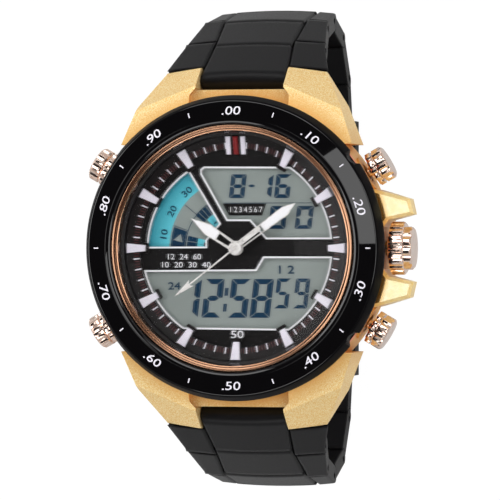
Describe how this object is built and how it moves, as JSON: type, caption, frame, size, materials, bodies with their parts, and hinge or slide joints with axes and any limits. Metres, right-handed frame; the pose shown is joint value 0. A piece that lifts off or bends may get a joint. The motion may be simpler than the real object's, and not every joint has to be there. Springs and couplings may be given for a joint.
{
  "type": "ana digi watch",
  "caption": "Wrist watch with hands over two display windows, a ring bezel, a crown, four pushers, and a link bracelet that closes with a folding clasp.",
  "frame": {"origin": "centre of the case back's outer face, under the hands' axis", "axes": "+Z out of the dial towards the glass, +Y towards 12 o'clock, +X towards 3 o'clock and the crown"},
  "size_m": [0.0553, 0.0818, 0.0557],
  "materials": {
    "gold_case": "gold-tone plating over steel, sandblasted",
    "black_bezel": "gloss black coating",
    "copper_trim": "polished copper tone",
    "mineral_glass": "clear, flat",
    "rubber_seal": "matte",
    "bar_steel": "plain",
    "back_steel": "brushed",
    "crown_metal": "rose gold plating, polished",
    "button_metal": "pale rose gold plating, polished",
    "ring_plastic": "black with brown prints",
    "marker_white": "white with a dark edge",
    "dial_black": "matte black with white frames",
    "display_glass": "grey liquid crystal glass with plain digits",
    "backlight_sheet": "pale diffusing sheet",
    "hand_metal": "white and polished silver",
    "gear_brass": "machined",
    "magnet_metal": "ground",
    "soft_iron": "stamped",
    "coil_copper": "enamelled wire, close wound",
    "plate_metal": "nickel plated",
    "holder_plastic": "white",
    "board_laminate": "green laminate with black parts",
    "cell_steel": "nickel plated",
    "spring_strip": "plain",
    "buzzer_brass": "plain disc",
    "bracelet_steel": "matte black plating",
    "blade_steel": "plain, pressed"
  },
  "bodies": {
    "case": {"case_body": "gold_case", "bezel": "black_bezel", "bezel_trim_ring": "copper_trim", "crystal": "mineral_glass", "crystal_gasket": "rubber_seal", "spring_bars": "bar_steel", "case_back": "back_steel", "case_back_gasket": "rubber_seal", "case_back_screws": "bar_steel", "chapter_ring": "ring_plastic", "hour_markers": "marker_white", "dial_plate": "dial_black", "lcd_panel": "display_glass", "backlight_panel": "backlight_sheet", "stator": "soft_iron", "coil": "coil_copper", "movement_plate": "plate_metal", "train_bridge": "plate_metal", "movement_ring": "holder_plastic", "circuit_board": "board_laminate", "coin_cell": "cell_steel", "battery_clip": "spring_strip", "buzzer": "buzzer_brass", "spring_at_2": "spring_strip", "spring_at_4": "spring_strip", "spring_at_8": "spring_strip", "spring_at_10": "spring_strip"},
    "pusher_2": {"pusher_at_2": "button_metal"},
    "pusher_4": {"pusher_at_4": "button_metal"},
    "pusher_8": {"pusher_at_8": "button_metal"},
    "pusher_10": {"pusher_at_10": "button_metal"},
    "crown_slide": {"setting_lever": "spring_strip"},
    "crown_turn": {"crown": "crown_metal", "crown_stem": "bar_steel", "crown_gasket": "rubber_seal"},
    "seconds": {"seconds_wheel": "gear_brass", "second_hand": "hand_metal"},
    "third": {"third_wheel": "gear_brass"},
    "centre": {"centre_wheel": "gear_brass", "minute_hand": "hand_metal"},
    "minute": {"minute_wheel": "gear_brass"},
    "hour": {"hour_wheel": "gear_brass", "hour_hand": "hand_metal"},
    "intermediate": {"intermediate_wheel": "gear_brass"},
    "rotor": {"step_rotor": "magnet_metal"},
    "row_12_1": {"links_12_side_1": "bracelet_steel"},
    "row_12_2": {"links_12_side_2": "bracelet_steel"},
    "row_12_3": {"links_12_side_3": "bracelet_steel"},
    "row_12_4": {"links_12_side_4": "bracelet_steel"},
    "row_12_5": {"links_12_side_5": "bracelet_steel"},
    "row_12_6": {"links_12_side_6": "bracelet_steel"},
    "clasp_cover": {"clasp_cover": "bracelet_steel"},
    "clasp_outer_blade": {"clasp_outer_blade": "blade_steel"},
    "clasp_inner_blade": {"clasp_inner_blade": "blade_steel"},
    "row_6_1": {"links_6_side_1": "bracelet_steel"},
    "row_6_2": {"links_6_side_2": "bracelet_steel"},
    "row_6_3": {"links_6_side_3": "bracelet_steel"},
    "row_6_4": {"links_6_side_4": "bracelet_steel"},
    "row_6_5": {"links_6_side_5": "bracelet_steel"},
    "row_6_6": {"links_6_side_6": "bracelet_steel"}
  },
  "joints": [
    {"name": "pusher_2_press", "type": "slide", "parent": "case", "child": "pusher_2", "axis": [-0.866, -0.5, 0], "range_m": [0, 0.0008], "stiffness_N_per_m": 300, "springref_m": -0.0005},
    {"name": "pusher_4_press", "type": "slide", "parent": "case", "child": "pusher_4", "axis": [-0.866, 0.5, 0], "range_m": [0, 0.0008], "stiffness_N_per_m": 300, "springref_m": -0.0005},
    {"name": "pusher_8_press", "type": "slide", "parent": "case", "child": "pusher_8", "axis": [0.866, 0.5, 0], "range_m": [0, 0.0008], "stiffness_N_per_m": 300, "springref_m": -0.0005},
    {"name": "pusher_10_press", "type": "slide", "parent": "case", "child": "pusher_10", "axis": [0.866, -0.5, 0], "range_m": [0, 0.0008], "stiffness_N_per_m": 300, "springref_m": -0.0005},
    {"name": "crown_pull", "type": "slide", "parent": "case", "child": "crown_slide", "axis": [1, 0, 0], "range_m": [0, 0.0012]},
    {"name": "crown_spin", "type": "hinge", "parent": "crown_slide", "child": "crown_turn", "pos_m": [0.027, 0, 0.0072], "axis": [1, 0, 0], "continuous": true},
    {"name": "seconds_turn", "type": "hinge", "parent": "case", "child": "seconds", "pos_m": [0, 0, 0.009], "axis": [0, 0, -1], "continuous": true},
    {"name": "third_turn", "type": "hinge", "parent": "case", "child": "third", "pos_m": [-0.0034, 0, 0.009], "axis": [0, 0, -1], "continuous": true},
    {"name": "centre_turn", "type": "hinge", "parent": "case", "child": "centre", "pos_m": [0, 0, 0.009], "axis": [0, 0, -1], "continuous": true},
    {"name": "minute_turn", "type": "hinge", "parent": "case", "child": "minute", "pos_m": [0, 0.003, 0.009], "axis": [0, 0, -1], "continuous": true},
    {"name": "hour_turn", "type": "hinge", "parent": "case", "child": "hour", "pos_m": [0, 0, 0.009], "axis": [0, 0, -1], "continuous": true},
    {"name": "intermediate_turn", "type": "hinge", "parent": "case", "child": "intermediate", "pos_m": [0.0036, 0, 0.009], "axis": [0, 0, -1], "continuous": true},
    {"name": "rotor_turn", "type": "hinge", "parent": "case", "child": "rotor", "pos_m": [0.005, -0.00242, 0.009], "axis": [0, 0, -1], "continuous": true},
    {"name": "row_12_1_fold", "type": "hinge", "parent": "case", "child": "row_12_1", "pos_m": [0, 0.028, 0.0044], "axis": [1, 0, 0], "range_deg": [0, 46]},
    {"name": "row_12_2_fold", "type": "hinge", "parent": "row_12_1", "child": "row_12_2", "pos_m": [0, 0.03298, -0.00298], "axis": [1, 0, 0], "range_deg": [0, 7]},
    {"name": "row_12_3_fold", "type": "hinge", "parent": "row_12_2", "child": "row_12_3", "pos_m": [0, 0.03715, -0.01118], "axis": [1, 0, 0], "range_deg": [0, 15]},
    {"name": "row_12_4_fold", "type": "hinge", "parent": "row_12_3", "child": "row_12_4", "pos_m": [0, 0.03907, -0.02017], "axis": [1, 0, 0], "range_deg": [0, 27]},
    {"name": "row_12_5_fold", "type": "hinge", "parent": "row_12_4", "child": "row_12_5", "pos_m": [0, 0.03669, -0.02906], "axis": [1, 0, 0], "range_deg": [0, 32]},
    {"name": "row_12_6_fold", "type": "hinge", "parent": "row_12_5", "child": "row_12_6", "pos_m": [0, 0.02996, -0.03534], "axis": [1, 0, 0], "range_deg": [0, 26]},
    {"name": "clasp_cover_fold", "type": "hinge", "parent": "row_12_6", "child": "clasp_cover", "pos_m": [0, 0.02116, -0.03803], "axis": [1, 0, 0], "range_deg": [0, 17]},
    {"name": "clasp_outer_blade_fold", "type": "hinge", "parent": "clasp_cover", "child": "clasp_outer_blade", "pos_m": [0, -0.0145, -0.03853], "axis": [1, 0, 0], "range_deg": [0, 170]},
    {"name": "clasp_inner_blade_fold", "type": "hinge", "parent": "clasp_outer_blade", "child": "clasp_inner_blade", "pos_m": [0, 0.0135, -0.03793], "axis": [-1, 0, 0], "range_deg": [0, 170]},
    {"name": "row_6_1_fold", "type": "hinge", "parent": "case", "child": "row_6_1", "pos_m": [0, -0.028, 0.0044], "axis": [-1, 0, 0], "range_deg": [0, 46]},
    {"name": "row_6_2_fold", "type": "hinge", "parent": "row_6_1", "child": "row_6_2", "pos_m": [0, -0.03298, -0.00298], "axis": [-1, 0, 0], "range_deg": [0, 7]},
    {"name": "row_6_3_fold", "type": "hinge", "parent": "row_6_2", "child": "row_6_3", "pos_m": [0, -0.03715, -0.01118], "axis": [-1, 0, 0], "range_deg": [0, 15]},
    {"name": "row_6_4_fold", "type": "hinge", "parent": "row_6_3", "child": "row_6_4", "pos_m": [0, -0.03907, -0.02017], "axis": [-1, 0, 0], "range_deg": [0, 27]},
    {"name": "row_6_5_fold", "type": "hinge", "parent": "row_6_4", "child": "row_6_5", "pos_m": [0, -0.03669, -0.02906], "axis": [-1, 0, 0], "range_deg": [0, 32]},
    {"name": "row_6_6_fold", "type": "hinge", "parent": "row_6_5", "child": "row_6_6", "pos_m": [0, -0.02996, -0.03534], "axis": [-1, 0, 0], "range_deg": [0, 26]}
  ],
  "couplings": [
    {"joint": "third_turn", "follows": "seconds_turn", "ratio": -0.13333},
    {"joint": "centre_turn", "follows": "seconds_turn", "ratio": 0.016667},
    {"joint": "minute_turn", "follows": "seconds_turn", "ratio": -0.0055556},
    {"joint": "hour_turn", "follows": "seconds_turn", "ratio": 0.0013889},
    {"joint": "intermediate_turn", "follows": "seconds_turn", "ratio": -5},
    {"joint": "rotor_turn", "follows": "seconds_turn", "ratio": 30},
    {"joint": "row_12_2_fold", "follows": "row_12_1_fold", "ratio": 0.15217},
    {"joint": "row_12_3_fold", "follows": "row_12_1_fold", "ratio": 0.32609},
    {"joint": "row_12_4_fold", "follows": "row_12_1_fold", "ratio": 0.58696},
    {"joint": "row_12_5_fold", "follows": "row_12_1_fold", "ratio": 0.69565},
    {"joint": "row_12_6_fold", "follows": "row_12_1_fold", "ratio": 0.56522},
    {"joint": "clasp_cover_fold", "follows": "row_12_1_fold", "ratio": 0.36957},
    {"joint": "clasp_outer_blade_fold", "follows": "row_12_1_fold", "ratio": 3.6957},
    {"joint": "clasp_inner_blade_fold", "follows": "row_12_1_fold", "ratio": 3.6957},
    {"joint": "row_6_1_fold", "follows": "row_12_1_fold", "ratio": 1},
    {"joint": "row_6_2_fold", "follows": "row_12_1_fold", "ratio": 0.15217},
    {"joint": "row_6_3_fold", "follows": "row_12_1_fold", "ratio": 0.32609},
    {"joint": "row_6_4_fold", "follows": "row_12_1_fold", "ratio": 0.58696},
    {"joint": "row_6_5_fold", "follows": "row_12_1_fold", "ratio": 0.69565},
    {"joint": "row_6_6_fold", "follows": "row_12_1_fold", "ratio": 0.56522}
  ]
}
